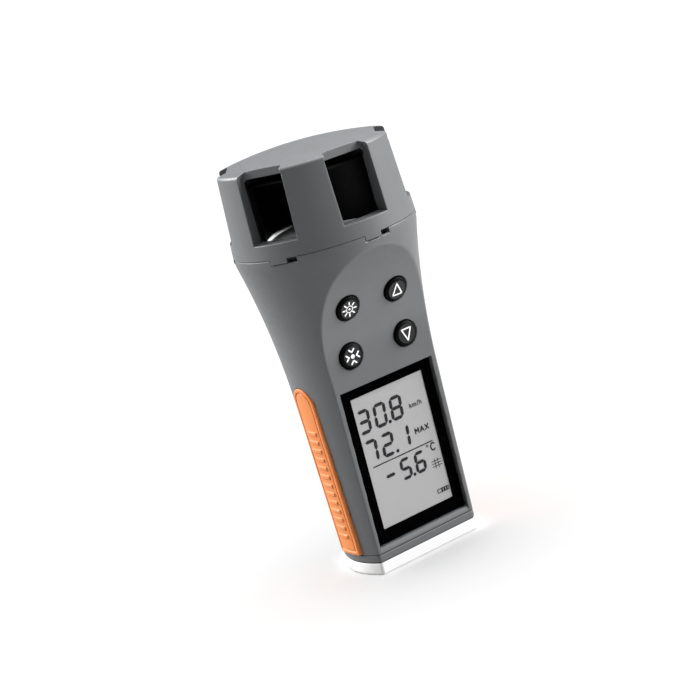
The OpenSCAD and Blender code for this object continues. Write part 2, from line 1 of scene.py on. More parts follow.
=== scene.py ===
"""Pocket wind meter: finished surfaces, materials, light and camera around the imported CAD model.

Sizes and places inside the script are millimetres; the frame and Blender are in metres."""
import json
import math
import bpy
import numpy as np
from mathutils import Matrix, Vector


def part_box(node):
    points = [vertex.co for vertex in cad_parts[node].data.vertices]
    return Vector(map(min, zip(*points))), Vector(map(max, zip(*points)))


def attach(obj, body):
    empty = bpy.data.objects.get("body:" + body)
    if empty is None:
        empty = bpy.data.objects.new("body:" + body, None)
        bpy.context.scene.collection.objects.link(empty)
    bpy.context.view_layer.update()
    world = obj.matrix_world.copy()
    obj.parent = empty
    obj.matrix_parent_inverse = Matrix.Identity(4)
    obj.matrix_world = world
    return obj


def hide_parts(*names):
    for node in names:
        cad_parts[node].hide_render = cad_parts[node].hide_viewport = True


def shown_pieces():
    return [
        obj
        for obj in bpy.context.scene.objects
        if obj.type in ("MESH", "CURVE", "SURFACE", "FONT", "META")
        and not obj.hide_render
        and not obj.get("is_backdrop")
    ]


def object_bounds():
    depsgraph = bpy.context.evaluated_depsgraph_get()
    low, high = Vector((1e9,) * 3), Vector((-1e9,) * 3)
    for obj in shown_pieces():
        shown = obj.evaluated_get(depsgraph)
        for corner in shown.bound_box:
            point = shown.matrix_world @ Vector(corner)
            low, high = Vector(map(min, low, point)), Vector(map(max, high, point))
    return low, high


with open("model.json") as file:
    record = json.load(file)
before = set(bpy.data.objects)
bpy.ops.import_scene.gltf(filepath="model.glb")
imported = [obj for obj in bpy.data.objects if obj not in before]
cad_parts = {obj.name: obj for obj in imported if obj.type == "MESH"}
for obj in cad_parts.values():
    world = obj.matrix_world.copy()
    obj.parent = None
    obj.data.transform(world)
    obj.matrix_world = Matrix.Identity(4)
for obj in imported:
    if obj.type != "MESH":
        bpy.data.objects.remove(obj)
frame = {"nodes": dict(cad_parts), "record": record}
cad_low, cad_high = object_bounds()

import openvdb
from mathutils import Matrix, Vector

MM = 0.001


def box_mm(node):
    """Lowest and highest corner of a CAD node, in millimetres."""
    low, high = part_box(node)
    return np.array(low) / MM, np.array(high) / MM


# ---------------------------------------------------------------- sizes
TOP_Z = cad_high.z / MM
HEAD_R = cad_high.x / MM
CREASE_Z = 115.0
HEAD_TOP_R = 30.25
HEAD_H = 30.0
DOME_RISE = TOP_Z - CREASE_Z - HEAD_H
DOME_R = (HEAD_TOP_R ** 2 + DOME_RISE ** 2) / (2 * DOME_RISE)
DOME_T = 3.0
HEAD_GAP = 0.3
PARTING_Z = CREASE_Z + 1.5
WALL = 2.2

BODY_R = 23.75
BODY_TAPER = 0.0285
FLARE_Z = 62.0
FLARE_POWER = 2.15
FLARE_GAIN = HEAD_R - BODY_R - BODY_TAPER * CREASE_Z

FACE_Y = 12.34
LEAN = math.radians(2.33)
FACE_CURVE_Z = 74.0
FACE_CURVE_R = 59.0
ARC_Y = FACE_Y + FACE_CURVE_Z * math.tan(LEAN) + FACE_CURVE_R * math.cos(LEAN)
ARC_Z = FACE_CURVE_Z - FACE_CURVE_R * math.sin(LEAN)

GASKET_Z = box_mm("base_gasket")[0][2]
RING_Z = box_mm("base_gasket")[1][2]
HOUSING_Z = box_mm("housing")[0][2]
RING_TOP_Z = HOUSING_Z - 0.25
BAR_Z = box_mm("battery_springs")[0][2]
COLUMN_R = 3.2
INSERT_R = 5.0
CAGE_Z = PARTING_Z + HEAD_GAP / 2
SHOWN_GAP = 0.09

MOUTH_R = HEAD_R - 2.6
MOUTH_Z = CREASE_Z - 3.4
SHELF_T = 3.6
SHELF_BORE_R = MOUTH_R - 4.1
SKIRT_R = MOUTH_R - HEAD_GAP
SKIRT_Z = MOUTH_Z + 1.9
NOTCH_Z = CREASE_Z - 0.1
PAD_FROM, SLOT_FROM, SLOT_TO = -5.6, 5.8, 12.1
PAD_SHOWN_CLEAR = 0.12

WINDOW_W = 16.8
WINDOW_Y = 25.64
SILL_Z = CREASE_Z + 6.75
LINTEL_Z = TOP_Z - DOME_R + math.sqrt(DOME_R ** 2 - WINDOW_Y ** 2) - DOME_T + 0.15
POCKET_TOP_Z = LINTEL_Z + 2.9
POCKET_ROUND = 2.8
CHAMBER_R = 25.2
BEARING_R = 2.2
BOSS_Z, BORE_TOP_Z = box_mm("upper_bearing")[0][2], box_mm("upper_bearing")[1][2]

GLASS_W = 37.9
GLASS_LOW_Z, GLASS_HIGH_Z = 9.3, 66.0
BEVEL_Z = 7.9
RECESS = 0.6
LCD_W = 29.65
LCD_LOW_Z = 14.4
LCD_DEPTH = 2.0

KEY_R = 4.4
KEY_GAP = 0.3
KEY_OUT = 1.2
KEYS = {"light_key": (-9.7, 93.85), "up_key": (9.7, 93.85),
        "chill_key": (-11.2, 77.2), "down_key": (11.2, 77.2)}

GRIP_HALF_W = 6.2
GRIP_LOW_Z, GRIP_HIGH_Z = 7.7, 69.5
GRIP_OUT = 0.45
GRIP_GROWTH = 0.009
GRIP_SET = 1.1
RIB_Z, RIB_STEP, RIB_T = 13.0, 3.2, 1.3
PIECE_GAP = 0.1

ROTOR_R = 24.3
ROTOR_TOP_Z = box_mm("rotor")[1][2] - 0.4
HUB_R = 4.8
HUB_LOW_Z = box_mm("rotor_magnet")[0][2]
HUB_RISE = 0.4
TOP_PLATE_R = 22.0
SHAFT_R = 0.8
VANES = 6
VANE_SWEEP = math.radians(95)
VANE_T = 1.0
TIP_ANGLE = math.radians(-166.5)
FLOOR_TOP_Z = CREASE_Z + 6.4
FLOOR_R = CHAMBER_R - 0.7
FLOOR_RISE = 3.4
FLOOR_BALL_R = (FLOOR_R ** 2 + FLOOR_RISE ** 2) / (2 * FLOOR_RISE)


# ---------------------------------------------------------------- distance fields
def both(a, b, radius=0.0):
    """Inside of a and b together, with the edge between them rounded."""
    if radius == 0:
        return np.maximum(a, b)
    corner = np.hypot(np.maximum(a + radius, 0), np.maximum(b + radius, 0))
    return np.minimum(np.maximum(a, b), -radius) + corner


def either(a, b, radius=0.0):
    return -both(-a, -b, radius)


def without(a, b, radius=0.0):
    return both(a, -b, radius)


def flare(z):
    return np.clip((z - FLARE_Z) / (CREASE_Z - FLARE_Z), 0, None)


def body_radius(z):
    return BODY_R + BODY_TAPER * z + FLARE_GAIN * flare(z) ** FLARE_POWER


def body_side(rho, z):
    slope = BODY_TAPER + FLARE_GAIN * FLARE_POWER / (CREASE_Z - FLARE_Z) * flare(z) ** (FLARE_POWER - 1)
    return (rho - body_radius(z)) / np.sqrt(1 + slope ** 2)


def head_radius(z):
    return HEAD_R - (z - CREASE_Z) * (HEAD_R - HEAD_TOP_R) / HEAD_H


def face_distance(y, z):
    """Distance in front of the flat and then curved front."""
    straight = (-y - FACE_Y - z * math.tan(LEAN)) * math.cos(LEAN)
    curved = FACE_CURVE_R - np.hypot(y + ARC_Y, z - ARC_Z)
    return np.where(np.arctan2(z - ARC_Z, y + ARC_Y) > LEAN, curved, straight)


def face_angle(z):
    return LEAN if z < FACE_CURVE_Z else math.asin((z - ARC_Z) / FACE_CURVE_R)


def face_at(z):
    if z < FACE_CURVE_Z:
        return FACE_Y + z * math.tan(LEAN)
    return ARC_Y - FACE_CURVE_R * math.cos(face_angle(z))


def sector(x, y, start, end):
    """Distance outside the six wedges that run from start to end, in degrees from the front."""
    middle, half = math.radians((start + end) / 2), math.radians((end - start) / 2)
    turn = np.arctan2(x, -y) - middle
    turn = np.abs((turn + math.pi / 6) % (math.pi / 3) - math.pi / 6)
    return np.hypot(x, y) * np.sin(np.clip(turn - half, -0.5, 0.5))


def key_axis(name):
    x, z = KEYS[name]
    angle = face_angle(z)
    centre = np.array([x, -face_at(z), z])
    return centre, np.array([0, -math.cos(angle), -math.sin(angle)])


def cylinder(x, y, z, centre, axis, radius):
    """Distance outside an endless cylinder, and the place along its axis."""
    dx, dy, dz = x - centre[0], y - centre[1], z - centre[2]
    along = dx * axis[0] + dy * axis[1] + dz * axis[2]
    return np.sqrt(np.maximum(dx ** 2 + dy ** 2 + dz ** 2 - along ** 2, 0)) - radius, along


def body_form(x, y, z, low, high, depth=0.0, edge=0.5, end=0.2):
    """The body's outline between two heights, moved inwards by a depth."""
    side = both(body_side(np.hypot(x, y), z) + depth, face_distance(y, z) + depth, edge)
    return both(both(side, low - z, end), z - high, end)


def grip_outline(y, z, half_w, low):
    shoulder = GRIP_HIGH_Z - GRIP_HALF_W
    across = np.where(z > shoulder, np.hypot(y, z - shoulder), np.abs(y)) - half_w
    return both(across, low - z, 0.4)


def display_cut(x, y, z):
    face = face_distance(y, z)
    height = z + face * math.sin(LEAN)
    rise = (GLASS_LOW_Z - BEVEL_Z) / RECESS
    bevel = (BEVEL_Z - face * rise - height) / math.hypot(1, rise)
    low = np.minimum(bevel, GLASS_LOW_Z - height)
    return np.maximum(np.maximum(low, height - GLASS_HIGH_Z),
                      np.maximum(np.abs(x) - GLASS_W / 2, -face - WALL - 1))


def housing(x, y, z):
    rho = np.hypot(x, y)
    side = body_side(rho, z)
    face = face_distance(y, z)
    outer = both(side, rho - head_radius(z), 0.6)
    outer = both(outer, face, 0.35)
    outer = both(both(outer, HOUSING_Z - z, 0.2), z - PARTING_Z + SHOWN_GAP / 2, 0.2)
    hollow = np.maximum(np.maximum(side, face) + WALL, z - MOUTH_Z + SHELF_T)
    hollow = np.minimum(hollow, np.maximum(rho - SHELF_BORE_R, MOUTH_Z - SHELF_T - 0.3 - z))
    hollow = np.minimum(hollow, np.maximum(rho - MOUTH_R, MOUTH_Z - z))
    shell = without(outer, hollow, 0.2)
    shell = without(shell, np.maximum(sector(x, y, PAD_FROM, SLOT_TO), NOTCH_Z - z), 0.1)
    shell = without(shell, display_cut(x, y, z), 0.12)
    for name in KEYS:
        radial, along = cylinder(x, y, z, *key_axis(name), KEY_R + KEY_GAP)
        shell = without(shell, np.maximum(radial, np.abs(along) - 5), 0.2)
    pocket = grip_outline(y, z, GRIP_HALF_W + PIECE_GAP, GRIP_LOW_Z - PIECE_GAP)
    return without(shell, np.maximum(pocket, -GRIP_SET - side), 0.1)


def head_cage(x, y, z):
    rho = np.hypot(x, y)
    side = rho - head_radius(z)
    dome = np.hypot(rho, z - TOP_Z + DOME_R) - DOME_R
    outer = both(both(side, dome, 0.9), PARTING_Z + SHOWN_GAP / 2 - z, 0.2)
    skirt = np.maximum(np.maximum(rho - SKIRT_R, SKIRT_Z - z), z - CAGE_Z - 1)
    pads = both(both(side, sector(x, y, PAD_FROM + PAD_SHOWN_CLEAR, SLOT_FROM), 0.1),
                np.maximum(NOTCH_Z + SHOWN_GAP / 2 - z, z - CAGE_Z - 1), 0.1)
    solid = np.minimum(np.minimum(outer, skirt), pads)
    boss = both(rho - BEARING_R - 2, BOSS_Z - z, 0.3)
    chamber = without(np.maximum(rho - CHAMBER_R, dome + DOME_T), boss, 0.3)
    bore = np.maximum(rho - BEARING_R, z - BORE_TOP_Z)
    turn = (np.arctan2(x, -y) + math.pi / 6) % (math.pi / 3) - math.pi / 6
    across, out = np.abs(rho * np.sin(turn)) - WINDOW_W / 2, rho * np.cos(turn)
    pocket = both(across, z - POCKET_TOP_Z, POCKET_ROUND)
    pocket = np.maximum(np.maximum(pocket, WINDOW_Y - out), SILL_Z - z)
    opening = np.maximum(np.maximum(both(across, z - LINTEL_Z, 1.5), SILL_Z - z), out - WINDOW_Y - 1)
    cuts = np.minimum(np.minimum(pocket, opening), np.minimum(chamber, bore))
    return without(solid, cuts, 0.25)


def rotor(x, y, z):
    rho = np.hypot(x, y)
    hub_in = HUB_R - 0.6
    span = ROTOR_R + 1 - hub_in
    wind = VANE_SWEEP * (1 - (rho - hub_in) / span)
    turn = np.arctan2(y, x) - TIP_ANGLE + wind
    step = 2 * math.pi / VANES
    turn = np.abs((turn + step / 2) % step - step / 2)
    lean = np.hypot(1, rho * VANE_SWEEP / span)
    vane = rho * turn / lean - VANE_T / 2
    under = FLOOR_BALL_R + 0.9 - np.hypot(rho, z - FLOOR_TOP_Z + FLOOR_BALL_R)
    ends = both(under, z - ROTOR_TOP_Z, 0.3)
    vanes = both(both(vane, rho - ROTOR_R, 0.3), ends, 0.3)
    plate = both(rho - TOP_PLATE_R, np.abs(z - ROTOR_TOP_Z + 0.5) - 0.5, 0.2)
    hub = both(rho - HUB_R, np.maximum(z - ROTOR_TOP_Z - HUB_RISE, HUB_LOW_Z - z), 0.3)
    body = either(either(vanes, plate, 0.3), hub, 0.5)
    room = np.maximum(rho - HUB_R + 0.8, z - HUB_LOW_Z - 1.4)
    return without(without(body, room, 0.1), rho - SHAFT_R, 0.1)


def base_ring(x, y, z):
    ring = body_form(x, y, z, RING_Z, RING_TOP_Z)
    collar = body_form(x, y, z, RING_TOP_Z - 0.3, HOUSING_Z + 4, WALL + 0.1)
    solid = np.minimum(ring, collar)
    room = body_form(x, y, z, RING_Z - 2, HOUSING_Z + 6, 2 * WALL)
    posts, shank = screw_columns(x, y, COLUMN_R), screw_columns(x, y, 1.15)
    bar = np.maximum(np.abs(y - 5.5) - 6.5, z - BAR_Z)
    bar = np.maximum(bar, INSERT_R + 0.5 - np.hypot(x, y))
    room = without(without(room, posts, 0.2), bar, 0.2)
    return without(without(solid, room, 0.1), np.maximum(shank, z - RING_Z - 6), 0.1)


def screw_columns(x, y, radius):
    low, high = box_mm("base_screws")
    middle_y = (low[1] + high[1]) / 2
    return np.hypot(np.abs(x) - high[0] + 2.3, y - middle_y) - radius


def base_cap(x, y, z):
    rho = np.hypot(x, y)
    side = both(body_side(rho, z), face_distance(y, z), 0.6)
    solid = both(both(side, -z, 0.5), z - GASKET_Z, 0.15)
    room = body_form(x, y, z, 2, GASKET_Z + 2, WALL)
    room = without(without(room, screw_columns(x, y, COLUMN_R), 0.2), rho - INSERT_R - 1.5, 0.2)
    holes = np.minimum(rho - INSERT_R - 0.02, screw_columns(x, y, 1.4) + 0 * z)
    holes = np.minimum(holes, np.maximum(screw_columns(x, y, 2.5), z - 1.6))
    return without(without(solid, room, 0.1), holes, 0.15)


def grip(x, y, z):
    rho = np.hypot(x, y)
    side = body_side(rho, z)
    top = rho - body_radius(z) - GRIP_OUT - (GRIP_HIGH_Z - z) * GRIP_GROWTH
    outline = grip_outline(y, z, GRIP_HALF_W, GRIP_LOW_Z)
    inset = -outline
    panel = top + 0.12 * np.clip((inset - 1.2) / 0.3, 0, 1)
    solid = both(both(panel, outline, 0.35), -side - GRIP_SET + PIECE_GAP / 2, 0.1)
    groove = both(np.abs(inset - 1.55) - 0.22, -0.45 - top, 0.1)
    solid = without(solid, groove, 0.12)
    ribs = grip_outline(y, z, GRIP_HALF_W - 3.2, GRIP_LOW_Z + 6)
    bars = np.abs((z - RIB_Z) % RIB_STEP - RIB_STEP / 2) - RIB_T / 2
    ribs = both(both(ribs, bars, 0.3), np.maximum(top - 0.22, -top - 0.6), 0.15)
    ribs = np.maximum(ribs, z - GRIP_HIGH_Z + 14)
    return np.maximum(either(solid, ribs, 0.15), 1 - x)


# ---------------------------------------------------------------- mesh from a field
def gradient(field, points, step=0.02):
    slopes = []
    for axis in range(3):
        shift = np.zeros(3)
        shift[axis] = step
        slopes.append(field(*(points + shift).T) - field(*(points - shift).T))
    return np.stack(slopes, 1) / (2 * step)


def field_values(field, axes):
    """The field on a grid, worked out in slabs to keep the memory small."""
    xs, ys, zs = axes
    slabs = [field(xs[:, None, None], ys[None, :, None], part[None, None, :])
             for part in np.array_split(zs, max(1, len(zs) // 12))]
    full = (len(xs), len(ys))
    return np.concatenate([np.broadcast_to(s, full + s.shape[2:]) for s in slabs], 2).astype(np.float32)


def moulded(name, field, low, high, voxel, adaptivity):
    """A closed mesh on the zero surface of a distance field, with the field's own normals."""
    axes = [np.arange(a - 2.5 * voxel, b + 3 * voxel, voxel) for a, b in zip(low, high)]
    values = field_values(field, axes)
    band = 3 * voxel
    grid = openvdb.FloatGrid(band)
    grid.copyFromArray(np.clip(values, -band, band))
    points, triangles, quads = grid.convertToPolygons(isovalue=0.0, adaptivity=adaptivity)
    points = np.asarray(points, float) * voxel + [a[0] for a in axes]
    for _ in range(4):
        slope = gradient(field, points)
        size = np.maximum((slope ** 2).sum(1), 0.2)
        move = slope * (field(*points.T) / size)[:, None]
        points -= move * np.minimum(1, voxel / np.maximum(np.linalg.norm(move, axis=1), 1e-9))[:, None]
    normals = gradient(field, points, 0.05)
    normals /= np.maximum(np.linalg.norm(normals, axis=1), 1e-9)[:, None]
    faces = [list(map(int, f)) for f in triangles] + [list(map(int, f)) for f in quads]
    sample = np.array([f[:3] for f in faces])
    corner, second, third = (points[sample[:, i]] for i in range(3))
    cross = np.cross(second - corner, third - corner)
    if (cross * normals[sample[:, 0]]).sum() < 0:
        faces = [f[::-1] for f in faces]
    mesh = bpy.data.meshes.new(name)
    mesh.from_pydata((points * MM).tolist(), [], faces)
    mesh.validate()
    mesh.polygons.foreach_set("use_smooth", np.ones(len(mesh.polygons), bool))
    mesh.normals_split_custom_set_from_vertices(normals.tolist())
    piece = bpy.data.objects.new(name, mesh)
    bpy.context.scene.collection.objects.link(piece)
    print("moulded", name, len(mesh.polygons), "faces")
    return piece


# ---------------------------------------------------------------- materials
def new_material(name):
    material = bpy.data.materials.new(name)
    material.use_nodes = True
    nodes, links = material.node_tree.nodes, material.node_tree.links
    return material, nodes, links, nodes["Principled BSDF"]


def noise(nodes, links, scale, detail=3.0, roughness=0.5):
    """Noise over the object's own space, with a scale per millimetre."""
    place = nodes.new("ShaderNodeTexCoord")
    texture = nodes.new("ShaderNodeTexNoise")
    texture.inputs["Scale"].default_value = scale / MM
    texture.inputs["Detail"].default_value = detail
    texture.inputs["Roughness"].default_value = roughness
    links.new(place.outputs["Object"], texture.inputs["Vector"])
    return texture.outputs["Fac"]


def spread(nodes, links, value, low, high):
    """Maps a value of 0.3 to 0.7 onto another range."""
    ramp = nodes.new("ShaderNodeMapRange")
    ramp.inputs["From Min"].default_value = 0.3
    ramp.inputs["From Max"].default_value = 0.7
    ramp.inputs["To Min"].default_value = low
    ramp.inputs["To Max"].default_value = high
    links.new(value, ramp.inputs["Value"])
    return ramp.outputs["Result"]


def finish_of(name, colour, roughness, grain=3.0, depth=0.02, drift=0.05, metallic=0.0,
              specular=0.5, blotch=0.08, rough_drift=0.05, coat=0.0):
    """A moulded, painted or machined surface: colour drift, uneven gloss and a fine grain."""
    material, nodes, links, shader = new_material(name)
    shader.inputs["Metallic"].default_value = metallic
    shader.inputs["Specular IOR Level"].default_value = specular
    shader.inputs["Coat Weight"].default_value = coat
    mix = nodes.new("ShaderNodeMix")
    mix.data_type = "RGBA"
    mix.inputs["A"].default_value = tuple(c * (1 - drift) for c in colour) + (1,)
    mix.inputs["B"].default_value = tuple(min(1, c * (1 + drift)) for c in colour) + (1,)
    links.new(spread(nodes, links, noise(nodes, links, blotch), 0, 1), mix.inputs["Factor"])
    links.new(mix.outputs["Result"], shader.inputs["Base Color"])
    links.new(spread(nodes, links, noise(nodes, links, blotch * 5), roughness - rough_drift,
                     roughness + rough_drift), shader.inputs["Roughness"])
    bump = nodes.new("ShaderNodeBump")
    bump.inputs["Strength"].default_value = 0.35
    bump.inputs["Distance"].default_value = depth * MM
    links.new(noise(nodes, links, grain, 2.0), bump.inputs["Height"])
    links.new(bump.outputs["Normal"], shader.inputs["Normal"])
    return material


def brushed(name, colour, roughness, stretch=(0.4, 0.4, 8.0)):
    """Drawn or turned metal with fine lines."""
    material, nodes, links, shader = new_material(name)
    shader.inputs["Base Color"].default_value = colour + (1,)
    shader.inputs["Metallic"].default_value = 1.0
    place = nodes.new("ShaderNodeTexCoord")
    scale = nodes.new("ShaderNodeMapping")
    scale.inputs["Scale"].default_value = tuple(s / MM for s in stretch)
    lines = nodes.new("ShaderNodeTexNoise")
    lines.inputs["Scale"].default_value = 1.0
    links.new(place.outputs["Object"], scale.inputs["Vector"])
    links.new(scale.outputs["Vector"], lines.inputs["Vector"])
    links.new(spread(nodes, links, lines.outputs["Fac"], roughness - 0.08, roughness + 0.1),
              shader.inputs["Roughness"])
    bump = nodes.new("ShaderNodeBump")
    bump.inputs["Strength"].default_value = 0.2
    bump.inputs["Distance"].default_value = 0.01 * MM
    links.new(lines.outputs["Fac"], bump.inputs["Height"])
    links.new(bump.outputs["Normal"], shader.inputs["Normal"])
    return material


def clear_window(name):
    """Clear acrylic: see-through, with reflections on its front that grow at a grazing angle."""
    material, nodes, links, shader = new_material(name)
    shader.inputs["Base Color"].default_value = (0.01, 0.01, 0.01, 1)
    shader.inputs["Roughness"].default_value = 0.04
    shader.inputs["IOR"].default_value = 1.49
    clear = nodes.new("ShaderNodeBsdfTransparent")
    clear.inputs["Color"].default_value = (0.97, 0.975, 0.975, 1)
    fresnel = nodes.new("ShaderNodeFresnel")
    fresnel.inputs["IOR"].default_value = 1.12
    side = nodes.new("ShaderNodeNewGeometry")
    front_only = nodes.new("ShaderNodeMix")
    links.new(side.outputs["Backfacing"], front_only.inputs["Factor"])
    links.new(fresnel.outputs["Fac"], front_only.inputs["A"])
    front_only.inputs["B"].default_value = 0.0
    mix = nodes.new("ShaderNodeMixShader")
    links.new(front_only.outputs["Result"], mix.inputs["Fac"])
    links.new(clear.outputs["BSDF"], mix.inputs[1])
    links.new(shader.outputs["BSDF"], mix.inputs[2])
    links.new(mix.outputs["Shader"], nodes["Material Output"].inputs["Surface"])
    return material


MATERIALS = {
    "grey_plastic": finish_of("grey_plastic", (0.077, 0.0805, 0.0838), 0.5, grain=4.0,
                              depth=0.03, drift=0.03),
    "black_plastic": finish_of("black_plastic", (0.016, 0.016, 0.017), 0.4, grain=4.0,
                               drift=0.1, specular=0.15),
    "light_grey_plastic": finish_of("light_grey_plastic", (0.75, 0.76, 0.77), 0.45, drift=0.03),
    "white_plastic": finish_of("white_plastic", (0.62, 0.622, 0.62), 0.42, drift=0.01, grain=5.0),
    "orange_rubber": finish_of("orange_rubber", (0.52, 0.15, 0.025), 0.55, grain=5.0,
                               depth=0.04, drift=0.03),
    "black_rubber": finish_of("black_rubber", (0.015, 0.015, 0.015), 0.7, drift=0.15),
    "black_print": finish_of("black_print", (0.0008, 0.0008, 0.0008), 0.5, drift=0.1, specular=0.0),
    "lcd": finish_of("lcd", (0.335, 0.323, 0.327), 0.5, drift=0.015, grain=1.0,
                     depth=0.002, specular=0.2),
    "diffuser": finish_of("diffuser", (0.8, 0.8, 0.78), 0.5),
    "jewel": finish_of("jewel", (0.3, 0.01, 0.02), 0.12, coat=0.5, drift=0.1),
    "magnet": finish_of("magnet", (0.05, 0.05, 0.055), 0.6, metallic=0.4, drift=0.15),
    "circuit_board": finish_of("circuit_board", (0.015, 0.12, 0.045), 0.3, drift=0.1),
    "flex": finish_of("flex", (0.5, 0.2, 0.03), 0.3, drift=0.08),
    "bead": finish_of("bead", (0.12, 0.03, 0.012), 0.3, drift=0.1),
    "cells": finish_of("cells", (0.05, 0.12, 0.25), 0.3, metallic=0.3, drift=0.05),
    "steel": brushed("steel", (0.62, 0.63, 0.65), 0.3),
    "brass": brushed("brass", (0.7, 0.5, 0.22), 0.32),
    "window": clear_window("window"),
    "rotor_black_with_painted_shade": finish_of("rotor_black_with_painted_shade", (0.004, 0.004, 0.0045), 0.6, drift=0.1, specular=0.12),
    # Near-black painted shade for the unlit inside of the head
    "painted_shade_inside": finish_of("painted_shade_inside", (0.006, 0.006, 0.006), 0.8, drift=0.1, specular=0.1),
    # A darker copy of the keys' black plastic: painted shade for the key sides
    "key_side_painted_shade": finish_of("key_side_painted_shade", (0.0015, 0.0015, 0.0015), 0.5, drift=0.1, specular=0.04),
    "icon_print": finish_of("icon_print", (0.85, 0.86, 0.86), 0.5, drift=0.02, grain=6.0, depth=0.004),
    "segment_print": finish_of("segment_print", (0.018, 0.018, 0.02), 0.5, drift=0.1, specular=0.1),
}

# Every CAD node takes the finish of its slot
for part in frame["record"]["subparts"]:
    mesh = frame["nodes"][part["node"]].data
    for slot in range(max(1, len(mesh.materials))):
        if slot < len(mesh.materials):
            mesh.materials[slot] = MATERIALS[part["material_slot"]]
        else:
            mesh.materials.append(MATERIALS[part["material_slot"]])


def add(piece, body, slot, *nodes):
    """Gives a piece its finish, the body it rides on and the nodes it stands for."""
    piece.data.materials.append(MATERIALS[slot])
    if nodes:
        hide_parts(*nodes)
    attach(piece, body)
    return piece


# ---------------------------------------------------------------- moulded shells
def build(name, field, node, voxel, body, slot, adaptivity):
    """A moulded piece over the box of the CAD node that it replaces."""
    low, high = box_mm(node)
    return add(moulded(name, field, low, high, voxel, adaptivity), body, slot, node)


build("housing_shell", housing, "housing", 0.3, "body", "grey_plastic", 0.002)
head_shell = build("head_shell", head_cage, "head_cage", 0.22, "head", "grey_plastic", 0.002)
rotor_wheel = build("rotor_wheel", rotor, "rotor", 0.3, "rotor", "black_plastic", 0.006)
# The rotor is black plastic, made darker than the other black plastic: painted shade for the unlit
# inside of the head
rotor_wheel.data.materials[0] = MATERIALS["rotor_black_with_painted_shade"]
build("foot_ring", base_ring, "base_ring", 0.3, "body", "grey_plastic", 0.02)
build("foot_cap", base_cap, "base_cap", 0.3, "body", "white_plastic", 0.02)
build("right_grip_pad", grip, "right_grip", 0.22, "body", "orange_rubber", 0.02)
build("left_grip_pad", lambda x, y, z: grip(-x, -y, z), "left_grip", 0.22,
      "body", "orange_rubber", 0.02)


def paint_shade_inside(piece):
    """Paints the inside of the head, from the window openings inwards, near black: painted shade where
    the inside lies unlit.
    """
    mesh = piece.data
    mesh.materials.append(MATERIALS["painted_shade_inside"])
    centres = np.zeros(len(mesh.polygons) * 3)
    mesh.polygons.foreach_get("center", centres)
    x, y, z = centres.reshape(-1, 3).T / MM
    turn = (np.arctan2(x, -y) + math.pi / 6) % (math.pi / 3) - math.pi / 6
    inside = (np.hypot(x, y) * np.cos(turn) < WINDOW_Y - 0.25) & (z > SILL_Z + 0.2)
    inside &= np.hypot(np.hypot(x, y), z - TOP_Z + DOME_R) < DOME_R - DOME_T + 0.6
    inside |= (np.hypot(x, y) < CHAMBER_R + 0.1) & (z < SILL_Z + 0.2)
    mesh.polygons.foreach_set("material_index", inside.astype(np.int32))


paint_shade_inside(head_shell)


# ---------------------------------------------------------------- keys
def rounded_profile(corners, steps=5):
    """Corners of (radius, height, rounding) joined by lines and arcs."""
    out = []
    for i, (r, h, rounding) in enumerate(corners):
        if rounding == 0:
            out.append((r, h))
            continue
        here = np.array([r, h])
        to_last = np.array(corners[i - 1][:2]) - here
        to_next = np.array(corners[i + 1][:2]) - here
        to_last /= np.linalg.norm(to_last)
        to_next /= np.linalg.norm(to_next)
        for k in range(steps + 1):
            t = k / steps
            out.append(tuple(here + rounding * ((1 - t) ** 2 * to_last + t ** 2 * to_next)))
    return out


def lathe(name, profile, centre, axis, segments=96):
    """A profile of (radius, height) turned about an axis, closed on it at both ends."""
    turn = Vector(axis).to_track_quat("Z", "Y").to_matrix()
    points, faces = [], []
    rings = [p for p in profile if p[0] > 0]
    for r, h in rings:
        for k in range(segments):
            a = 2 * math.pi * k / segments
            points.append(Vector((r * math.cos(a), r * math.sin(a), h)))
    for i in range(len(rings) - 1):
        for k in range(segments):
            n = (k + 1) % segments
            base, above = i * segments, (i + 1) * segments
            faces.append([base + k, base + n, above + n, above + k])
    for h, ring, order in ((profile[0][1], 0, -1), (profile[-1][1], len(rings) - 1, 1)):
        points.append(Vector((0, 0, h)))
        tip = len(points) - 1
        for k in range(segments):
            pair = [ring * segments + k, ring * segments + (k + 1) % segments][::order]
            faces.append(pair + [tip])
    mesh = bpy.data.meshes.new(name)
    mesh.from_pydata([(turn @ p + Vector(centre)) * MM for p in points], [], faces)
    mesh.polygons.foreach_set("use_smooth", np.ones(len(faces), bool))
    piece = bpy.data.objects.new(name, mesh)
    bpy.context.scene.collection.objects.link(piece)
    return piece


KEY_TOP_R = KEY_R * 0.8
FLANGE_R = KEY_R + 0.9
FLANGE_DEPTH = WALL + 0.2
FLANGE_END = FLANGE_DEPTH + 0.8
NUB_R = 1.5
NUB_DEPTH = FLANGE_DEPTH + 1.2
DISH = 0.12
DISH_EDGE = 0.35
DISH_Z = KEY_OUT - DISH
key_profile = rounded_profile([
    (0, -NUB_DEPTH, 0), (NUB_R, -NUB_DEPTH, 0.2), (NUB_R, -FLANGE_END, 0),
    (FLANGE_R, -FLANGE_END, 0.15), (FLANGE_R, -FLANGE_DEPTH, 0.15), (KEY_R, -FLANGE_DEPTH, 0),
    (KEY_R, KEY_OUT * 0.5, 0.3), (KEY_TOP_R, KEY_OUT, 0.25),
    (KEY_TOP_R - DISH_EDGE, DISH_Z, 0.2), (0, DISH_Z, 0)])
for name in KEYS:
    centre, axis = key_axis(name)
    key = lathe(name.replace("_key", "") + "_key_cap", key_profile, centre, axis)
    add(key, name, "black_plastic", name)
    # The sides and flange of each key take the darker copy of their black plastic: painted shade
    key.data.materials.append(MATERIALS["key_side_painted_shade"])
    for face in key.data.polygons:
        offset = np.array(face.center) / MM - centre
        if np.linalg.norm(np.cross(offset, axis)) > KEY_TOP_R - 0.2:
            face.material_index = 1


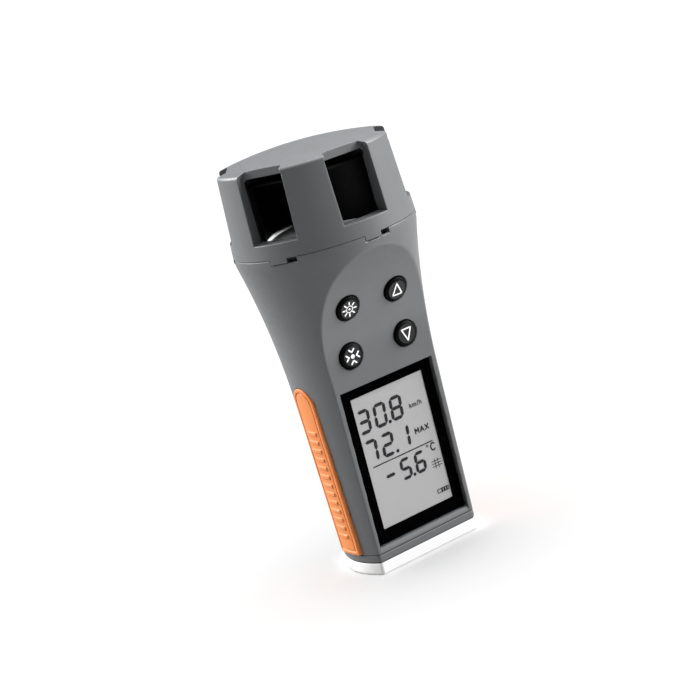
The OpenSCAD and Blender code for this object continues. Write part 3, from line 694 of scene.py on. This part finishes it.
# ---------------------------------------------------------------- flat marks
def raised(name, outlines, place, thickness, body, finish):
    """Thin closed slabs from flat outlines; place(x, y, height) puts each point on the object."""
    points, faces = [], []
    for outline in outlines:
        base, n = len(points), len(outline)
        points += [place(x, y, 0) for x, y in outline]
        points += [place(x, y, thickness) for x, y in outline]
        faces.append([base + i for i in range(n)][::-1])
        faces.append([base + n + i for i in range(n)])
        top = base + n
        faces += [[base + i, base + (i + 1) % n, top + (i + 1) % n, top + i] for i in range(n)]
    mesh = bpy.data.meshes.new(name)
    mesh.from_pydata([Vector(p) * MM for p in points], [], faces)
    piece = bpy.data.objects.new(name, mesh)
    bpy.context.scene.collection.objects.link(piece)
    piece.data.materials.append(MATERIALS[finish])
    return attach(piece, body)


def stroke(a, b, width, ends=4):
    """A bar from a to b with round ends."""
    a, b = np.array(a, float), np.array(b, float)
    angle = math.atan2(b[1] - a[1], b[0] - a[0])
    out = []
    for centre, start in ((b, angle - math.pi / 2), (a, angle + math.pi / 2)):
        for k in range(ends + 1):
            t = start + math.pi * k / ends
            out.append(tuple(centre + width / 2 * np.array([math.cos(t), math.sin(t)])))
    return out


def dot(x, y, r, sides=20):
    return [(x + r * math.cos(2 * math.pi * k / sides), y + r * math.sin(2 * math.pi * k / sides))
            for k in range(sides)]


def path(points, width, closed=False):
    pairs = list(zip(points, points[1:] + points[:1] if closed else points[1:]))
    return [stroke(a, b, width) for a, b in pairs]


def ring(r, width, sides=24):
    return path(dot(0, 0, r, sides), width, closed=True)


def turned(point, angle):
    c, s = math.cos(angle), math.sin(angle)
    return point[0] * c - point[1] * s, point[0] * s + point[1] * c


def triangle(up, size=1.85):
    sign = 1 if up else -1
    corners = [(0, sign * size * 1.3), (-size, -sign * size * 0.95), (size, -sign * size * 0.95)]
    return path(corners, 0.45, closed=True)


def sun():
    rays = []
    for k in range(8):
        angle = k * math.pi / 4
        rays.append(stroke(turned((1.75, 0), angle), turned((2.6, 0), angle), 0.46))
    return ring(1.2, 0.36) + rays + [dot(0, 0, 0.36)]


def chill():
    marks = [dot(0, 0, 0.72)]
    for k in range(4):
        angle = k * math.pi / 2
        marks += path([turned(p, angle) for p in ((2.45, 0.95), (1.5, 0), (2.45, -0.95))], 0.5)
    return marks


ICON_T = 0.05
ICONS = {"light_key": sun(), "up_key": triangle(True),
         "chill_key": chill(), "down_key": triangle(False)}
for name, outlines in ICONS.items():
    centre, axis = key_axis(name)
    up = np.array([0, axis[2], -axis[1]])

    def on_key(x, y, height, centre=centre, axis=axis, up=up):
        return centre + np.array([x, 0, 0]) + up * y + axis * (DISH_Z - 0.01 + height)

    raised(name.replace("_key", "") + "_icon", outlines, on_key, ICON_T, name,
           "icon_print")


# ---------------------------------------------------------------- display digits
SEGMENTS = {"0": "abcdef", "1": "bc", "2": "abged", "3": "abgcd", "5": "afgcd",
            "6": "afgedc", "7": "abc", "8": "abcdefg", "-": "g"}


def segment_bars(width, height, bar):
    """Outlines of the seven segments of a digit whose lower left corner is at 0, 0."""
    gap, half = bar * 0.3, height / 2
    left, right, mid = bar / 2, width - bar / 2, half

    def level(y, x0=left + gap, x1=right - gap):
        return [(x0 - bar * 0.3, y), (x0 + bar * 0.3, y + bar / 2), (x1 - bar * 0.3, y + bar / 2),
                (x1 + bar * 0.3, y), (x1 - bar * 0.3, y - bar / 2), (x0 + bar * 0.3, y - bar / 2)]

    def upright(x, y0, y1):
        return [(x, y0 - bar * 0.3), (x + bar / 2, y0 + bar * 0.3), (x + bar / 2, y1 - bar * 0.3),
                (x, y1 + bar * 0.3), (x - bar / 2, y1 - bar * 0.3), (x - bar / 2, y0 + bar * 0.3)]
    low, high = bar / 2 + gap, height - bar / 2 - gap
    return {"a": level(height - bar / 2), "g": level(mid), "d": level(bar / 2),
            "f": upright(left, mid + gap, high), "b": upright(right, mid + gap, high),
            "e": upright(left, low, mid - gap), "c": upright(right, low, mid - gap)}


def number(text, x, y, width, height, bar, pitch, slant=0.06):
    """Seven-segment digits from x, y on the display, leaning a little to the right."""
    out = []
    for mark in text:
        if mark == ".":
            out.append(dot(x - (pitch - width) / 2, y + bar / 2, bar * 0.55, 12))
            continue
        bars = segment_bars(width, height, bar)
        for segment in SEGMENTS[mark]:
            out.append([(x + px + slant * py, y + py) for px, py in bars[segment]])
        x += pitch
    return out


LETTERS = {
    "k": [[(0, 0), (0, 1)], [(0, 0.35), (0.5, 0.7)], [(0.18, 0.45), (0.5, 0)]],
    "m": [[(0, 0), (0, 0.65)], [(0, 0.55), (0.4, 0.65), (0.4, 0)], [(0.4, 0.6), (0.8, 0.65), (0.8, 0)]],
    "/": [[(0, -0.1), (0.4, 1)]],
    "h": [[(0, 0), (0, 1)], [(0, 0.6), (0.5, 0.65), (0.5, 0)]],
    "M": [[(0, 0), (0, 1), (0.4, 0.4), (0.8, 1), (0.8, 0)]],
    "A": [[(0, 0), (0.4, 1), (0.8, 0)], [(0.15, 0.35), (0.65, 0.35)]],
    "X": [[(0, 0), (0.75, 1)], [(0, 1), (0.75, 0)]],
    "C": [[(0.62, 0.85), (0.4, 1), (0.12, 0.88), (0, 0.5), (0.12, 0.12), (0.4, 0), (0.62, 0.15)]],
}


def word(text, x, y, size, width, spacing=1.0):
    out = []
    for letter in text:
        lines = LETTERS[letter]
        for line in lines:
            out += path([(x + px * size, y + py * size) for px, py in line], width)
        x += (max(px for line in lines for px, _ in line) + 0.28 * spacing) * size
    return out


# Places and sizes are in millimetres from the lower left corner of the display
marks = number("30.8", 0.35, 34.5, 5.1, 8.6, 1.2, 6.7)
marks += number("72.1", 0.35, 23.6, 5.1, 8.5, 1.2, 6.7)
marks += number("5.6", 11.9, 13.1, 4.5, 7.8, 1.15, 6.1)
marks.append(stroke((6.7, 17.1), (9.1, 17.1), 1.2))
marks.append(stroke((2.3, 22.3), (27.1, 22.3), 0.42))
marks += word("km/h", 21.8, 36.6, 1.5, 0.3, 1.2)
marks += word("MAX", 21.5, 27.1, 1.75, 0.46, 1.5)
marks += [dot(24.6 + px, 21.2 + py, 0.16, 8) for px, py in dot(0, 0, 0.34, 8)]
marks += word("C", 25.9, 18.9, 2.7, 0.5)
for level in (13.0, 14.0, 15.0):
    marks.append(stroke((24.8, level), (28.8, level), 0.26))
marks += [stroke((x, 12.2), (x, 15.7), 0.26) for x in (26.1, 27.4)]
marks += path([(24.3, 3.3), (24.3, 4.6), (29.0, 4.6), (29.0, 3.3)], 0.3, closed=True)
marks += [stroke((x, 3.4), (x, 4.5), 0.7) for x in (26.2, 27.2, 28.2)]

face_up = np.array([0, -math.sin(LEAN), math.cos(LEAN)])
face_out = np.array([0, -math.cos(LEAN), -math.sin(LEAN)])
lcd_corner = np.array([-LCD_W / 2, -face_at(LCD_LOW_Z), LCD_LOW_Z]) - face_out * LCD_DEPTH
MARK_LIFT, MARK_T = 0.03, 0.02


def on_lcd(x, y, height):
    return lcd_corner + np.array([x, 0, 0]) + face_up * y + face_out * (MARK_LIFT + height)


raised("display_marks", marks, on_lcd, MARK_T, "body", "segment_print")


# ---------------------------------------------------------------- floor, light and camera
def floor():
    mesh = bpy.data.meshes.new("floor")
    half = 3.0  # metres
    corners = [(-half, -half, 0), (half, -half, 0), (half, half, 0), (-half, half, 0)]
    mesh.from_pydata(corners, [], [(0, 1, 2, 3)])
    ground = bpy.data.objects.new("floor", mesh)
    bpy.context.scene.collection.objects.link(ground)
    mesh.materials.append(finish_of("floor_paper", (0.9, 0.9, 0.9), 0.9, grain=0.5,
                                    drift=0.004, specular=0.1))
    ground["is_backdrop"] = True


floor()


CEILING_EDGE = (0.6, 0.95)
CEILING_LIGHT = 3.1
WALL_LIGHT = 0.03


def studio():
    """White backdrop for the camera, and a soft white ceiling that lights the object and the floor."""
    world = bpy.data.worlds.new("studio")
    bpy.context.scene.world = world
    world.use_nodes = True
    nodes, links = world.node_tree.nodes, world.node_tree.links
    background = nodes["Background"]
    background.inputs["Color"].default_value = (1, 1, 1, 1)
    place = nodes.new("ShaderNodeTexCoord")
    height = nodes.new("ShaderNodeSeparateXYZ")
    ceiling = nodes.new("ShaderNodeMapRange")
    ceiling.interpolation_type = "SMOOTHSTEP"
    ceiling.inputs["From Min"].default_value = CEILING_EDGE[0]
    ceiling.inputs["From Max"].default_value = CEILING_EDGE[1]
    ceiling.inputs["To Min"].default_value = WALL_LIGHT
    ceiling.inputs["To Max"].default_value = CEILING_LIGHT
    seen = nodes.new("ShaderNodeLightPath")
    pick = nodes.new("ShaderNodeMix")
    links.new(place.outputs["Generated"], height.inputs["Vector"])
    links.new(height.outputs["Z"], ceiling.inputs["Value"])
    links.new(seen.outputs["Is Camera Ray"], pick.inputs["Factor"])
    links.new(ceiling.outputs["Result"], pick.inputs["A"])
    pick.inputs["B"].default_value = 1.0
    links.new(pick.outputs["Result"], background.inputs["Strength"])


def side_light(name, azimuth, elevation, strength, width, lit):
    """A wide, distant softbox for the object alone; azimuth 0 is in front and 90 on the right."""
    data = bpy.data.lights.new(name, "SUN")
    data.energy = strength
    data.angle = math.radians(width)
    lamp = bpy.data.objects.new(name, data)
    bpy.context.scene.collection.objects.link(lamp)
    a, e = math.radians(azimuth), math.radians(elevation)
    towards = Vector((math.sin(a) * math.cos(e), -math.cos(a) * math.cos(e), math.sin(e)))
    lamp.rotation_mode = "QUATERNION"
    lamp.rotation_quaternion = (-towards).to_track_quat("-Z", "Y")
    lamp.light_linking.receiver_collection = lit
    lamp.light_linking.blocker_collection = lit


studio()
lit = bpy.data.collections.new("lit_pieces")
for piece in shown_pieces():
    lit.objects.link(piece)
side_light("right_softbox", 65, 25, 7.0, 35, lit)
side_light("right_bounce", 60, -35, 1.6, 50, lit)
side_light("back_softbox", 115, 55, 1.7, 40, lit)
side_light("left_softbox", -145, 30, 7.2, 35, lit)
bpy.context.scene.view_settings.view_transform = "Standard"

# Camera: an angle to the left of the front, above the object, with a roll
CAMERA_LEFT = math.radians(28.047)
CAMERA_UP = math.radians(13.49)
CAMERA_ROLL = math.radians(15.901)
CAMERA_DISTANCE = 590.998
SENSOR_WIDTH, LENS = 36.0, 88.30
AIM_RIGHT, AIM_Z = -2.357, 74.696
right = np.array([math.cos(CAMERA_LEFT), -math.sin(CAMERA_LEFT), 0])
forward = np.array([math.sin(CAMERA_LEFT) * math.cos(CAMERA_UP),
                    math.cos(CAMERA_LEFT) * math.cos(CAMERA_UP), -math.sin(CAMERA_UP)])
upward = np.cross(right, forward)
aim = right * AIM_RIGHT + np.array([0, 0, AIM_Z])
camera_x = math.cos(CAMERA_ROLL) * right - math.sin(CAMERA_ROLL) * upward
camera_y = math.sin(CAMERA_ROLL) * right + math.cos(CAMERA_ROLL) * upward
camera_data = bpy.data.cameras.new("camera")
camera_data.sensor_width = SENSOR_WIDTH
camera_data.lens = LENS
camera_data.clip_start, camera_data.clip_end = 0.01, 20
camera = bpy.data.objects.new("camera", camera_data)
bpy.context.scene.collection.objects.link(camera)
spot = (aim - forward * CAMERA_DISTANCE) * MM
camera.matrix_world = Matrix([
    [camera_x[i], camera_y[i], -forward[i], spot[i]] for i in range(3)] + [[0, 0, 0, 1]])
bpy.context.scene.camera = camera
